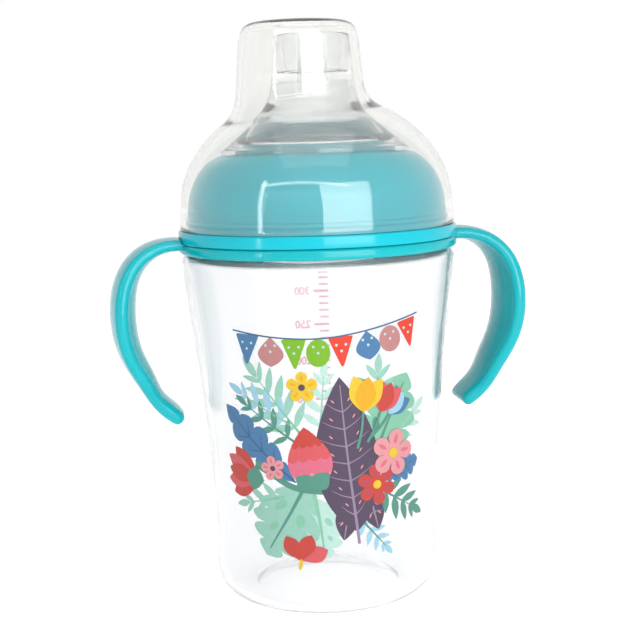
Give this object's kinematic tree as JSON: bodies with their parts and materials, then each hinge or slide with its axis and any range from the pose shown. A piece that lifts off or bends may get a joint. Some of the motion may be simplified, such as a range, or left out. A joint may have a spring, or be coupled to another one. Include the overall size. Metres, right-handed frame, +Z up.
{
  "type": "sippy cup",
  "caption": "Trainer cup with a waisted clear body, ear handles on a ring, a screw collar, a soft spout with a recessed tip and a clear dome cap.",
  "frame": {"origin": "centre of the base, on the surface that the cup stands on", "axes": "+Z up along the cup's axis; the handles reach along +X and -X; the printed picture faces -Y"},
  "size_m": [0.1284, 0.085, 0.1752],
  "materials": {
    "clear_body": "slightly hazy clear polypropylene",
    "clear_cap": "clear, high gloss",
    "silicone": "translucent silicone, satin",
    "aqua_plastic": "gloss moulded polypropylene",
    "print_ink": "cured print ink in several colours"
  },
  "bodies": {
    "bottle": {"bottle": "clear_body"},
    "handles": {"handle_ring": "aqua_plastic"},
    "spout": {"spout": "silicone"},
    "collar": {"collar": "aqua_plastic"},
    "cap": {"cap": "clear_cap"}
  },
  "joints": [
    {"name": "lid_lift", "type": "slide", "parent": "bottle", "child": "spout", "axis": [0, 0, 1], "range_m": [0, 0.0063]},
    {"name": "lid_turn", "type": "hinge", "parent": "spout", "child": "collar", "pos_m": [0, 0, 0.12], "axis": [0, 0, 1], "range_deg": [0, 450]},
    {"name": "cap_pull", "type": "slide", "parent": "collar", "child": "cap", "axis": [0, 0, 1], "range_m": [0, 0.065]},
    {"name": "handle_turn", "type": "hinge", "parent": "bottle", "child": "handles", "pos_m": [0, 0, 0.1088], "axis": [0, 0, 1], "continuous": true}
  ],
  "couplings": [
    {"joint": "lid_lift", "follows": "lid_turn", "m_per_rad": 0.00079577}
  ]
}
